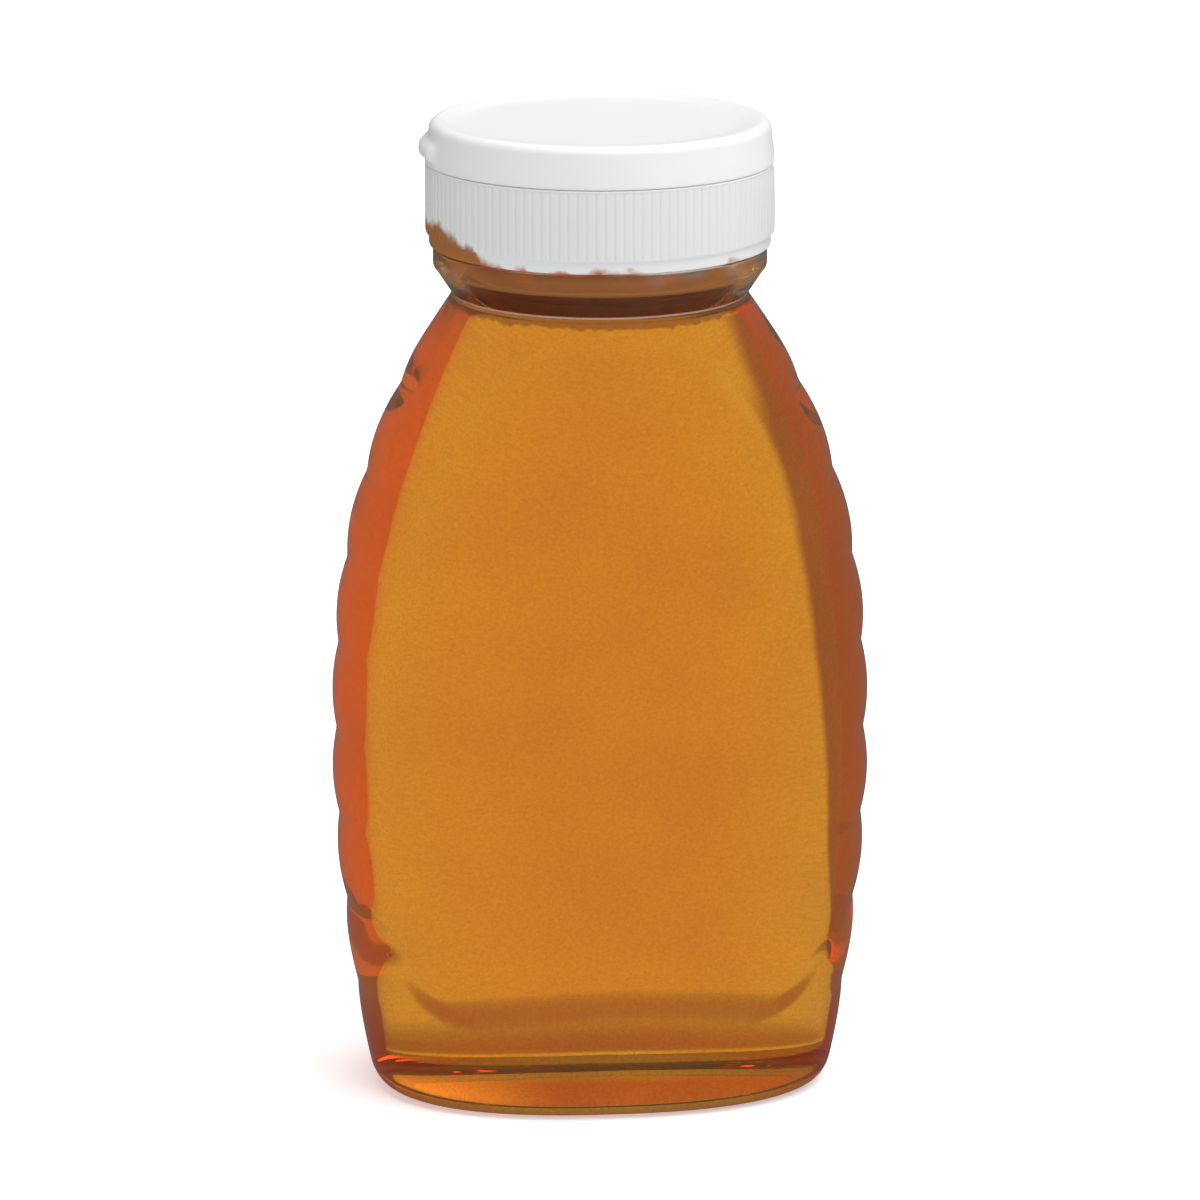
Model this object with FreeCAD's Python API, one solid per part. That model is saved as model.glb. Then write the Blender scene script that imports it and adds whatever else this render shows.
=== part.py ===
import FreeCAD, Part
import math
import os

os.makedirs("parts", exist_ok=True)

# ---------------------------------------------------------------- named sizes, mm
# body: X is the wide axis, -Y the front, Z up, the bottle stands on Z = 0
body_width = 63.8          # widest, over the side ribs
body_depth = 42.2          # front to back at the widest level
body_height = 95.5         # to the foot of the neck
widest_at = 40.0           # level of the widest section
base_width = 54.4          # just above the bottom corner
base_depth = 38.0
corner_radius = 2.6        # round between base and side
section_power = 2.35       # squareness of the oval section
wall = 0.8                 # blown wall
shoulder_step = 0.35       # ledge where the shoulder meets the neck

# side ribs and the smooth panels
rib_pitch = 10.4
rib_valley_at = 33.0       # level of one valley
rib_depth = 0.55
rib_fade_low = 14.0        # ribs die out towards this level
panel_half_width = 27.9
panel_top_drop = 0.7       # the panel's top below the shoulder
panel_foot = 10.5
panel_arch = 4.5           # how far the foot line rises in the middle
panel_recess = 0.45
panel_edge = 2.4           # width of the blend at the panel's edge

# base push-up
pushup_height = 4.8
pushup_length = 42.0
pushup_depth = 25.0
pushup_sink = 0.8          # how far the push-up's ball centre lies below the floor

# neck finish, counted up from the shoulder
finish_diameter = 35.0     # thread root
finish_wall = 1.3
neck_undercut = 0.25       # plain neck below the bead, inside the thread root
bead_reach = 2.1           # outward from the thread root
bead_cone_foot = 0.5
bead_rise = 3.75           # shoulder to the bead's upright edge
bead_edge = 2.3
bead_top_slope = 0.25
finish_length = 13.8       # shoulder to mouth
mouth_chamfer = 0.5
thread_pitch = 4.2
thread_height = 0.9
thread_width = 1.5
thread_root = 0.15         # how deep a thread is rooted in its wall
thread_turns = 1.0
thread_rise = 2.0          # bead to the thread's lower end

# contents
honey_rise = 0.6           # above the shoulder
honey_gap = 0.08           # between honey and wall

# cap: skirt and deck
skirt_wall = 1.8
cap_lift = 0.2             # bead to the skirt's foot
cap_band = 1.7             # smooth band under the ribs
cap_band_chamfer = 0.3
cap_lip = 0.3              # smooth lip above the ribs
cap_lip_setback = 0.05
cap_band_setback = 0.45
cap_ribs = 120
cap_rib_depth = 0.28
deck_thickness = 1.5
deck_sink = 0.5            # deck below the parting level
deck_rim = 2.4             # wall left round the sunk deck
parting_gap = 0.16
mouth_clearance = 0.3
thread_clearance = 0.3
cap_thread_turns = 0.75
cap_thread_height = 0.8
seal_gap = 0.15
seal_wall = 0.8
seal_depth = 1.6
seal_root = 0.2            # how far the seal lip is rooted in the deck
orifice_diameter = 6.4
spout_wall = 1.3
spout_height = 1.0

# lid
lid_height = 4.9           # parting level to the crest of the rim
lid_wall = 1.2
lid_draft = 0.5            # how much the lid narrows to its rim
rim_radius = 1.1
rim_start = 110.0          # where the rounded rim begins, degrees above level
rim_steps = 8
rim_slope = 2.0            # width of the slope from the rim down to the recessed top
top_recess = 0.4
top_dish = 0.15            # further fall to the middle
lid_top_wall = 1.3
lid_inner_chamfer = 0.8
collar_gap = 0.25          # between the spout and the lid's sealing collar
collar_wall = 1.0
collar_lift = 0.3          # above the deck
collar_root = 0.3          # how far the collar is rooted in the lid's top
tab_reach = 0.9
tab_width = 11.0
tab_height = 2.9
tab_edge = 0.8             # flat outer edge of the tab
tab_at = 0.5               # tab's underside above the parting level
hinge_inset = 0.75         # hinge line inside the cap's outer radius
hinge_land = 0.1           # notch starts this far inside the hinge line
hinge_width = 11.0
hinge_angle = 116.0        # opening of the notch at the hinge

around = 72                # poles round a section
level_step = 1.6           # between sections
corner_rows = 6            # sections over the bottom corner
widening_foot = 1.67       # how fast the width falls away below the widest level
widening_top = 2.75        # and above it
deepening_foot = 2.0       # the same for the depth
deepening_top = 3.2


# ---------------------------------------------------------------- body surface
def smooth(t):
    t = max(0.0, min(1.0, t))
    return t * t * (3.0 - 2.0 * t)


def half_width(z, shoulder):
    wide = body_width / 2.0 - rib_depth / 2.0
    if z < widest_at:
        t = (widest_at - z) / widest_at
        return wide - (wide - base_width / 2.0) * t ** widening_foot
    t = (z - widest_at) / (body_height - widest_at)
    return wide - (wide - shoulder) * t ** widening_top


def half_depth(z, shoulder):
    deep = body_depth / 2.0
    if z < widest_at:
        t = (widest_at - z) / widest_at
        return deep - (deep - base_depth / 2.0) * t ** deepening_foot
    t = (z - widest_at) / (body_height - widest_at)
    return deep - (deep - shoulder) * t ** deepening_top


def corner_inset(z):
    if z >= corner_radius:
        return 0.0
    rise = corner_radius - z
    return corner_radius - math.sqrt(max(0.0, corner_radius ** 2 - rise ** 2))


def panel_inside(x, z):
    """1 well inside the smooth panel, 0 on the ribbed sides and the foot band"""
    if z >= widest_at:
        t = min(1.0, (z - widest_at) / (body_height - panel_top_drop - widest_at))
        reach = panel_half_width * math.sqrt(1.0 - t * t)
    else:
        t = min(1.0, (widest_at - z) / (widest_at - panel_foot))
        reach = panel_half_width * (1.0 - t ** 4) ** 0.25
    side = (reach - abs(x)) / panel_edge + 0.5
    foot_line = panel_foot + panel_arch * (1.0 - min(1.0, (x / panel_half_width) ** 2))
    foot = (z - foot_line) / panel_edge + 0.5
    return smooth(side) * smooth(foot)


def rib_height(z):
    t = (z - rib_valley_at) / rib_pitch
    t = t - math.floor(t)
    arc = 1.0 - (2.0 * t - 1.0) ** 2
    fade = smooth((z - rib_fade_low + rib_pitch) / (2.0 * rib_pitch))
    top = smooth((body_height - z) / rib_pitch)
    return rib_depth * (arc - 0.5) * (0.3 + 0.7 * fade) * top


def side_share(angle):
    return smooth((abs(math.cos(angle)) - 0.84) / 0.13)


def section(z, inset, shoulder):
    """poles of the section at level z, drawn in by inset"""
    t = max(0.0, (z - widest_at) / (body_height - widest_at))
    power = section_power + (2.0 - section_power) * smooth(t)
    wide = half_width(z, shoulder)
    deep = half_depth(z, shoulder)
    poles = []
    for k in range(around):
        a = 2.0 * math.pi * k / around
        c, s = math.cos(a), math.sin(a)
        r = (abs(c / wide) ** power + abs(s / deep) ** power) ** (-1.0 / power)
        x, y = r * c, r * s
        inside = panel_inside(x, z)
        out = rib_height(z) * side_share(a) * (1.0 - inside) - panel_recess * inside
        nx, ny = c / wide, s / deep
        size = math.hypot(nx, ny)
        move = out - inset
        poles.append((x + move * nx / size, y + move * ny / size))
    return poles


def body_solid(foot, top, inset, radius):
    """closed solid from level foot to level top, radius being its round top section"""
    levels = []
    for k in range(corner_rows + 1):
        levels.append(foot + corner_radius * (1.0 - math.cos(math.pi / 2.0 * k / corner_rows)))
    rest = levels[-1]
    count = int(round((top - rest) / level_step))
    for k in range(1, count + 1):
        levels.append(rest + (top - rest) * k / count)
    grid = []
    for z in levels:
        drawn = corner_inset(z - foot) + inset
        row = [FreeCAD.Vector(x, y, z) for x, y in section(z, drawn, radius + inset)]
        grid.append(row)
    rows = len(grid)
    knots = list(range(rows - 2))
    mults = [4] + [1] * (rows - 4) + [4]
    surface = Part.BSplineSurface()
    round_knots = list(range(around + 1))
    surface.buildFromPolesMultsKnots(grid, mults, [1] * (around + 1), knots, round_knots,
                                     False, True, 3, 3)
    side = surface.toShape()
    faces = [side.copy()]
    for edge in side.Edges:
        if edge.BoundBox.ZLength < 1e-4:
            faces.append(Part.Face(Part.Wire([edge.copy()])))
    shell = Part.makeShell(faces)
    shell.sewShape()
    solid = Part.Solid(shell)
    if solid.Volume < 0:
        solid.reverse()
    return solid


def dome(height, length, depth):
    """flattened ball whose cap stands height above Z = 0 over the given oval"""
    ball = Part.makeSphere(1.0)
    matrix = FreeCAD.Matrix()
    share = math.sqrt(1.0 - (pushup_sink / (pushup_sink + height)) ** 2)
    matrix.scale(length / 2.0 / share, depth / 2.0 / share, pushup_sink + height)
    ball = ball.transformGeometry(matrix)
    ball.translate(FreeCAD.Vector(0, 0, -pushup_sink))
    return ball


def turned(profile):
    """solid of revolution about Z from (radius, level) points"""
    points = [FreeCAD.Vector(r, 0, z) for r, z in profile]
    wire = Part.makePolygon(points + [points[0]])
    return Part.Face(wire).revolve(FreeCAD.Vector(0, 0, 0), FreeCAD.Vector(0, 0, 1), 360)


def cylinder(radius, low, high):
    return Part.makeCylinder(radius, high - low, FreeCAD.Vector(0, 0, low))


# ---------------------------------------------------------------- bottle
finish_r = finish_diameter / 2.0
bore_r = finish_r - finish_wall
neck_r = finish_r - neck_undercut
bead_r = finish_r + bead_reach
shoulder_r = neck_r + shoulder_step
bead_low = body_height + bead_rise
bead_high = bead_low + bead_edge
mouth_level = body_height + finish_length
thread_start = bead_high + thread_rise
honey_level = body_height + honey_rise
overlap = 2.0              # how far pieces that are fused or cut run into each other
bore_entry = 0.3           # how far the neck's bore runs down into the body
skin = 0.01                # keeps a straight bore off the free-form wall that it meets


def thread(root, out, width, start, turns):
    """ridge on a helix; out is its signed height from the root radius"""
    helix = Part.makeHelix(thread_pitch, thread_pitch * turns, root)
    base = root - math.copysign(thread_root, out)
    tip = root + out
    half = width / 2.0
    tip_half = half * 0.45
    points = [FreeCAD.Vector(base, 0, -half), FreeCAD.Vector(tip, 0, -tip_half),
              FreeCAD.Vector(tip, 0, tip_half), FreeCAD.Vector(base, 0, half)]
    profile = Part.makePolygon(points + [points[0]])
    ridge = Part.Wire(helix).makePipeShell([profile], True, True)
    ridge.translate(FreeCAD.Vector(0, 0, start))
    return ridge


def make_neck():
    foot = body_height - overlap
    outer = [(0, foot), (neck_r, foot), (neck_r, body_height + bead_cone_foot),
             (bead_r, bead_low), (bead_r, bead_high), (finish_r, bead_high + bead_top_slope),
             (finish_r, mouth_level - mouth_chamfer), (finish_r - mouth_chamfer, mouth_level),
             (0, mouth_level)]
    return turned(outer)


def make_bottle():
    outer = body_solid(0.0, body_height, 0.0, shoulder_r)
    outer = outer.cut(dome(pushup_height, pushup_length, pushup_depth))
    inner = body_solid(wall, body_height - wall, wall, bore_r)
    inner = inner.cut(dome(pushup_height + wall, pushup_length + 4 * wall,
                           pushup_depth + 4 * wall))
    bore = cylinder(bore_r - skin, body_height - wall - bore_entry, mouth_level + overlap)
    bottle = outer.fuse(make_neck()).cut(inner).cut(bore)
    ridge = thread(finish_r, thread_height, thread_width, thread_start, thread_turns)
    return bottle.fuse(ridge)


def make_honey():
    draw = wall + honey_gap
    honey = body_solid(draw, body_height - wall, draw, bore_r - honey_gap)
    grow = wall + honey_gap
    honey = honey.cut(dome(pushup_height + grow, pushup_length + 4 * grow,
                           pushup_depth + 4 * grow))
    column = cylinder(bore_r - honey_gap - 2 * skin, body_height - wall - bore_entry, honey_level)
    return honey.fuse(column)


# ---------------------------------------------------------------- cap and lid
skirt_bore = finish_r + thread_height + thread_clearance
cap_r = skirt_bore + skirt_wall
cap_foot = bead_high + cap_lift
deck_low = mouth_level + mouth_clearance
deck_top = deck_low + deck_thickness
parting_level = deck_top + deck_sink
skirt_top = parting_level - parting_gap / 2.0
orifice_r = orifice_diameter / 2.0
hinge_x = cap_r - hinge_inset


def ribbed_ring(low, high):
    """the gripping part of the skirt: a prism with a scalloped outline"""
    outer = cap_r
    valley = cap_r - cap_rib_depth
    step = 2.0 * math.pi / cap_ribs
    edges = []
    for k in range(cap_ribs):
        a = k * step
        spots = [(valley, a), (outer, a + step / 2.0), (valley, a + step)]
        p = [FreeCAD.Vector(r * math.cos(t), r * math.sin(t), low) for r, t in spots]
        edges.append(Part.Arc(p[0], p[1], p[2]).toShape())
    face = Part.Face(Part.Wire(edges))
    return face.extrude(FreeCAD.Vector(0, 0, high - low))


def hinge_notch():
    """wedge that frees the walls on both sides of the hinge line"""
    half = math.radians(hinge_angle / 2.0)
    far = 2 * overlap
    rise = far * math.tan(half)
    points = [FreeCAD.Vector(hinge_x - hinge_land, 0, parting_level),
              FreeCAD.Vector(hinge_x + far, 0, parting_level - rise),
              FreeCAD.Vector(hinge_x + far, 0, parting_level + rise)]
    face = Part.Face(Part.makePolygon(points + [points[0]]))
    wedge = face.extrude(FreeCAD.Vector(0, hinge_width, 0))
    wedge.translate(FreeCAD.Vector(0, -hinge_width / 2.0, 0))
    return wedge


def make_cap():
    band_r = cap_r - cap_band_setback
    rib_low = cap_foot + cap_band
    rib_high = skirt_top - cap_lip
    skirt = ribbed_ring(rib_low, rib_high)
    band = cylinder(band_r, cap_foot, rib_low)
    foot = turned([(0, cap_foot), (band_r - cap_band_chamfer, cap_foot),
                   (band_r, cap_foot + cap_band_chamfer), (band_r, rib_low), (0, rib_low)])
    lip = cylinder(cap_r - cap_lip_setback, rib_high, skirt_top)
    cap = skirt.fuse(foot).fuse(lip)
    cap = cap.cut(cylinder(cap_r - deck_rim, deck_top, skirt_top + overlap))
    cap = cap.cut(cylinder(skirt_bore, cap_foot - overlap, deck_low))
    seal_r = bore_r - seal_gap
    seal = cylinder(seal_r, deck_low - seal_depth, deck_low + seal_root)
    inside = cylinder(seal_r - seal_wall, deck_low - seal_depth - overlap, deck_low + seal_root)
    spout = cylinder(orifice_r + spout_wall, deck_low, deck_top + spout_height)
    cap = cap.fuse(seal.cut(inside)).fuse(spout)
    cap = cap.cut(cylinder(orifice_r, cap_foot, deck_top + spout_height + overlap))
    ridge = thread(skirt_bore, -cap_thread_height, thread_width, thread_start,
                   cap_thread_turns)
    ridge.rotate(FreeCAD.Vector(0, 0, 0), FreeCAD.Vector(0, 0, 1), 180.0)
    return cap.fuse(ridge).cut(hinge_notch())


def make_lid():
    low = parting_level + parting_gap / 2.0
    crest = parting_level + lid_height
    top_r = cap_r - lid_draft
    rim_c = top_r - rim_radius
    start = math.radians(rim_start)
    slope_r = rim_c + rim_radius * math.cos(start) - rim_slope
    profile = [(0, crest - top_recess - top_dish), (slope_r, crest - top_recess)]
    for k in range(rim_steps + 1):
        a = start * (1.0 - k / rim_steps)
        profile.append((rim_c + rim_radius * math.cos(a),
                        crest - rim_radius * (1.0 - math.sin(a))))
    inner_r = cap_r - lid_wall
    under = crest - top_recess - lid_top_wall
    inner_top = top_r - lid_wall
    profile += [(cap_r, low), (inner_r, low), (inner_top, under - lid_inner_chamfer),
                (inner_top - lid_inner_chamfer, under), (0, under)]
    lid = turned(profile)
    collar_r = orifice_r + spout_wall + collar_gap
    collar_low = deck_top + collar_lift
    collar = cylinder(collar_r + collar_wall, collar_low, under + collar_root)
    collar = collar.cut(cylinder(collar_r, collar_low - overlap, under + collar_root))
    tab_low = parting_level + tab_at
    root = cap_r - lid_wall / 2.0
    edge_low = tab_low + (tab_height - tab_edge) / 3.0
    tab = turned([(root, tab_low), (cap_r + tab_reach, edge_low),
                  (cap_r + tab_reach, edge_low + tab_edge), (root, tab_low + tab_height)])
    keep = Part.makeBox(cap_r, tab_width, tab_height,
                        FreeCAD.Vector(-cap_r - tab_reach, -tab_width / 2.0, tab_low))
    tab = tab.common(keep)
    return lid.fuse(collar).fuse(tab).cut(hinge_notch())


def save(name, shape):
    if shape.ShapeType == "Compound" and len(shape.Solids) == 1:
        shape = shape.Solids[0]
    shape.exportStep("parts/" + name + ".step")
    print(name, shape.isValid(), len(shape.Solids), round(shape.Volume / 1000.0, 2), "ml",
          shape.optimalBoundingBox())


save("bottle", make_bottle())
save("honey", make_honey())
save("cap", make_cap())
save("lid", make_lid())
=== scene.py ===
import math
import bmesh
import bpy
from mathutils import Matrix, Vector


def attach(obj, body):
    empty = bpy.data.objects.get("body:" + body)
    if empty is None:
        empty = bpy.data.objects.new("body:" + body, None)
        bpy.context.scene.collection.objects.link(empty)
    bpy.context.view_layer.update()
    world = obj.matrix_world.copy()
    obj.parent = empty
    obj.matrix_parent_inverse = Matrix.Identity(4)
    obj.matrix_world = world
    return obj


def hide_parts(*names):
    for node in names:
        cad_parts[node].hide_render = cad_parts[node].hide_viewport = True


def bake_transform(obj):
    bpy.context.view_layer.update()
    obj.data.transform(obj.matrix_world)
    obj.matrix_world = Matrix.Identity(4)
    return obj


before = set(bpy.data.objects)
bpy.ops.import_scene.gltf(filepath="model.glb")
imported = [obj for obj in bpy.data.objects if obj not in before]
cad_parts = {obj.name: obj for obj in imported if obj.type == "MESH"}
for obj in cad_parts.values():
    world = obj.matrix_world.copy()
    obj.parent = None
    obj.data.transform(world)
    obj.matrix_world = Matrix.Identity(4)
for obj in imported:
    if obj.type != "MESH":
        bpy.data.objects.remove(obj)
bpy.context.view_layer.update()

scene = bpy.context.scene
scene.view_settings.view_transform = "Standard"
scene.cycles.max_bounces = 96
scene.cycles.glossy_bounces = 96
scene.cycles.transmission_bounces = 96
scene.cycles.transparent_max_bounces = 128
MM = 0.001


# ---------------------------------------------------------------- camera
# It stands a little above the bottle and a few degrees to its left, with a long lens, as for a
# shop's still life.
CAMERA_DISTANCE = 800.0
CAMERA_HEIGHT = 256.4
CAMERA_TURN = math.radians(-6.0)
CAMERA_PITCH = math.radians(13.89)
lens = bpy.data.cameras.new("camera")
lens.sensor_width = 36.0
lens.lens = 208.4
lens.clip_start = 0.01
camera = bpy.data.objects.new("camera", lens)
camera.location = (CAMERA_DISTANCE * MM * math.sin(CAMERA_TURN),
                   -CAMERA_DISTANCE * MM * math.cos(CAMERA_TURN), CAMERA_HEIGHT * MM)
camera.rotation_euler = (math.pi / 2 - CAMERA_PITCH, 0.0, CAMERA_TURN)
scene.collection.objects.link(camera)
scene.camera = camera


# ---------------------------------------------------------------- bottle
# The bottle is blown in one piece from clear plastic: a flattened oval body with level ribs down
# its sides, a smooth panel front and back and a push-up in its base, under a thick moulded neck
# with a bead and a screw thread.
BODY_WIDTH = 63.8
BODY_DEPTH = 42.2
BODY_HEIGHT = 95.5
WIDEST_AT = 40.0
BASE_WIDTH = 54.4
BASE_DEPTH = 38.0
CORNER = 2.6
SQUARENESS = 2.35
WIDTH_CURVES = (1.67, 2.75)
DEPTH_CURVES = (2.0, 3.2)
WALL = 0.8
RIB_PITCH = 10.4
RIB_VALLEY_AT = 33.0
RIB_DEPTH = 0.55
RIB_FADE_LOW = 14.0
RIBS_FROM = 0.92
RIBS_FADE = 0.075
PANEL_HALF_WIDTH = 27.9
PANEL_TOP_DROP = 0.7
PANEL_FOOT = 10.5
PANEL_ARCH = 4.5
PANEL_RECESS = 0.45
PANEL_EDGE = 2.4
PANEL_FOOT_EDGE = 5.0
PANEL_TOP_EDGE = 4.0
PUSHUP_HEIGHT = 4.8
PUSHUP_LENGTH = 42.0
PUSHUP_DEPTH = 25.0
PUSHUP_SINK = 0.8
NECK_R = 17.25
SHOULDER_R = 17.6
FINISH_R = 17.5
BORE_R = 16.2
BEAD_R = 19.6
BEAD_LOW = BODY_HEIGHT + 3.75
BEAD_HIGH = BEAD_LOW + 2.3
MOUTH = BODY_HEIGHT + 13.8
MOULD_LINE = (BODY_HEIGHT + 0.51, BODY_HEIGHT + 0.85)
HONEY_LEVEL = BODY_HEIGHT + 0.6
HONEY_CLIMB = 0.35
THREAD_PITCH = 4.2
THREAD_START = BEAD_HIGH + 2.0
THREAD_HEIGHT = 0.9
THREAD_ROOT = 0.15
SHARP_ANGLE = math.radians(40.0)
AROUND = 240
CORNER_STEPS = 8
LEVEL_STEP = 0.6
DOME_STEPS = 22
FLAT_STEPS = 6
CLEAR_TINT = (0.985, 0.99, 0.985, 1.0)
FILM_THIN = (0.65, 0.58, 0.46, 1.0)
FILM_THICK = (0.8, 0.41, 0.145, 1.0)


def smooth(t):
    t = max(0.0, min(1.0, t))
    return t * t * (3.0 - 2.0 * t)


def half_size(z, middle, foot, shoulder, curves):
    """half the body's width or depth at level z; curves are its powers below and above"""
    if z < WIDEST_AT:
        t = (WIDEST_AT - z) / WIDEST_AT
        return middle - (middle - foot) * t ** curves[0]
    t = (z - WIDEST_AT) / (BODY_HEIGHT - WIDEST_AT)
    return middle - (middle - shoulder) * t ** curves[1]


def panel_share(x, z):
    """1 well inside the smooth panel, 0 on the ribbed sides and the foot band"""
    if z >= WIDEST_AT:
        t = min(1.0, (z - WIDEST_AT) / (BODY_HEIGHT - PANEL_TOP_DROP - WIDEST_AT))
        reach = PANEL_HALF_WIDTH * math.sqrt(1.0 - t * t)
    else:
        t = min(1.0, (WIDEST_AT - z) / (WIDEST_AT - PANEL_FOOT))
        reach = PANEL_HALF_WIDTH * (1.0 - t ** 4) ** 0.25
    foot_line = PANEL_FOOT + PANEL_ARCH * (1.0 - min(1.0, (x / PANEL_HALF_WIDTH) ** 2))
    side = smooth((reach - abs(x)) / PANEL_EDGE + 0.5)
    foot = smooth((z - foot_line) / PANEL_FOOT_EDGE + 0.5)
    return side * foot * smooth((BODY_HEIGHT - z) / PANEL_TOP_EDGE)


def rib_height(z):
    t = (z - RIB_VALLEY_AT) / RIB_PITCH
    t -= math.floor(t)
    arc = 1.0 - (2.0 * t - 1.0) ** 2
    fade = smooth((z - RIB_FADE_LOW + RIB_PITCH) / (2.0 * RIB_PITCH))
    return RIB_DEPTH * (arc - 0.5) * (0.3 + 0.7 * fade) * smooth((BODY_HEIGHT - z) / RIB_PITCH)


def body_ring(z, inset, shoulder):
    """the body's section at level z, drawn in by inset"""
    t = max(0.0, (z - WIDEST_AT) / (BODY_HEIGHT - WIDEST_AT))
    power = SQUARENESS + (2.0 - SQUARENESS) * smooth(t)
    wide = half_size(z, (BODY_WIDTH - RIB_DEPTH) / 2, BASE_WIDTH / 2, shoulder, WIDTH_CURVES)
    deep = half_size(z, BODY_DEPTH / 2, BASE_DEPTH / 2, shoulder, DEPTH_CURVES)
    ring = []
    for k in range(AROUND):
        a = 2.0 * math.pi * k / AROUND
        c, s = math.cos(a), math.sin(a)
        r = (abs(c / wide) ** power + abs(s / deep) ** power) ** (-1.0 / power)
        inside = panel_share(r * c, z)
        ribs = smooth((abs(c) - RIBS_FROM) / RIBS_FADE) * (1.0 - inside)
        move = rib_height(z) * ribs - PANEL_RECESS * inside - inset
        nx, ny = c / wide, s / deep
        size = math.hypot(nx, ny)
        ring.append((r * c + move * nx / size, r * s + move * ny / size, z))
    return ring


def body_rings(foot, top, inset, radius):
    """rings from the standing edge at level foot up the side to level top"""
    quarter = math.pi / 2 / CORNER_STEPS
    levels = [foot + CORNER * (1.0 - math.cos(quarter * k)) for k in range(CORNER_STEPS + 1)]
    count = int((top - levels[-1]) / LEVEL_STEP)
    rest = levels[-1]
    levels += [rest + (top - rest) * k / count for k in range(1, count + 1)]
    rings = []
    for z in levels:
        rise = max(0.0, CORNER - (z - foot))
        corner = CORNER - math.sqrt(max(0.0, CORNER ** 2 - rise ** 2))
        rings.append(body_ring(z, corner + inset, radius + inset))
    return rings


def round_ring(radius, z):
    step = 2.0 * math.pi / AROUND
    return [(radius * math.cos(k * step), radius * math.sin(k * step), z)
            for k in range(AROUND)]


def floor_rings(edge, lift, grow):
    """rings of a base from its middle to the standing edge: the push-up, then the flat"""
    height = PUSHUP_HEIGHT + grow
    length, depth = PUSHUP_LENGTH + 4 * grow, PUSHUP_DEPTH + 4 * grow
    share = math.sqrt(1.0 - (PUSHUP_SINK / (PUSHUP_SINK + height)) ** 2)
    rings = []
    for k in range(1, DOME_STEPS + 1):
        s = math.sin(math.pi / 2 * k / DOME_STEPS)
        z = (PUSHUP_SINK + height) * math.sqrt(max(0.0, 1.0 - (s * share) ** 2)) - PUSHUP_SINK
        rings.append([(length / 2 * s * x, depth / 2 * s * y, max(z, lift))
                      for x, y, _ in round_ring(1.0, 0.0)])
    rim = rings[-1]
    for k in range(1, FLAT_STEPS):
        t = k / FLAT_STEPS
        rings.append([(p[0] + (q[0] - p[0]) * t, p[1] + (q[1] - p[1]) * t, lift)
                      for p, q in zip(rim, edge)])
    return rings


def skin(name, rings):
    """closed mesh through the rings, with a fan at each end"""
    mesh = bpy.data.meshes.new(name)
    verts = [(x * MM, y * MM, z * MM) for ring in rings for x, y, z in ring]
    faces = []
    for j in range(len(rings) - 1):
        a, b = j * AROUND, (j + 1) * AROUND
        for k in range(AROUND):
            n = (k + 1) % AROUND
            faces.append((a + k, a + n, b + n, b + k))
    for start in (0, (len(rings) - 1) * AROUND):
        ring = verts[start:start + AROUND]
        verts.append(tuple(sum(p[i] for p in ring) / AROUND for i in range(3)))
        for k in range(AROUND):
            faces.append((start + k, start + (k + 1) % AROUND, len(verts) - 1))
    mesh.from_pydata(verts, [], faces)
    piece = bpy.data.objects.new(name, mesh)
    scene.collection.objects.link(piece)
    return piece


def shade(piece, sharp=SHARP_ANGLE):
    """smooths all but the sharp edges"""
    piece.data.shade_smooth()
    piece.data.set_sharp_from_angle(angle=sharp)


def clean(piece):
    """merges doubles and turns every face outwards"""
    form = bmesh.new()
    form.from_mesh(piece.data)
    bmesh.ops.remove_doubles(form, verts=form.verts, dist=2e-6)
    bmesh.ops.recalc_face_normals(form, faces=form.faces)
    form.to_mesh(piece.data)
    form.free()


def bottle_rings():
    """all round the wall: the base, the side, the neck, over the mouth and down inside"""
    side = body_rings(0.0, BODY_HEIGHT, 0.0, SHOULDER_R)
    neck = [(NECK_R + 0.08, BODY_HEIGHT + 0.12), (NECK_R, BODY_HEIGHT + 0.35),
            (NECK_R + 0.03, BODY_HEIGHT + 0.5), (NECK_R + 0.25, BODY_HEIGHT + 0.78),
            (BEAD_R - 0.35, BEAD_LOW - 0.3), (BEAD_R - 0.1, BEAD_LOW - 0.02),
            (BEAD_R, BEAD_LOW + 0.3), (BEAD_R, BEAD_HIGH - 0.35),
            (BEAD_R - 0.1, BEAD_HIGH - 0.1), (BEAD_R - 0.35, BEAD_HIGH),
            (FINISH_R + 0.4, BEAD_HIGH + 0.18), (FINISH_R + 0.1, BEAD_HIGH + 0.35),
            (FINISH_R, BEAD_HIGH + 0.7), (FINISH_R, MOUTH - 0.5), (FINISH_R - 0.15, MOUTH - 0.15),
            (FINISH_R - 0.5, MOUTH), (BORE_R + 0.25, MOUTH), (BORE_R + 0.05, MOUTH - 0.08),
            (BORE_R, MOUTH - 0.3), (BORE_R, HONEY_LEVEL + HONEY_CLIMB), (BORE_R, BODY_HEIGHT),
            (BORE_R, BODY_HEIGHT - WALL - 0.2)]
    inner = body_rings(WALL, BODY_HEIGHT - WALL - 0.3, WALL, BORE_R)
    rings = floor_rings(side[0], 0.0, 0.0) + side + [round_ring(r, z) for r, z in neck]
    return rings + inner[::-1] + floor_rings(inner[0], WALL, WALL)[::-1]


def close_rows(form, rows):
    """joins rows of points, each a ring, to a closed form"""
    count = len(rows[0])
    for a, b in zip(rows, rows[1:]):
        for i in range(count):
            n = (i + 1) % count
            form.faces.new((a[i], a[n], b[n], b[i]))
    form.faces.new(rows[0][::-1])
    form.faces.new(rows[-1])
    bmesh.ops.recalc_face_normals(form, faces=form.faces)


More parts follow.
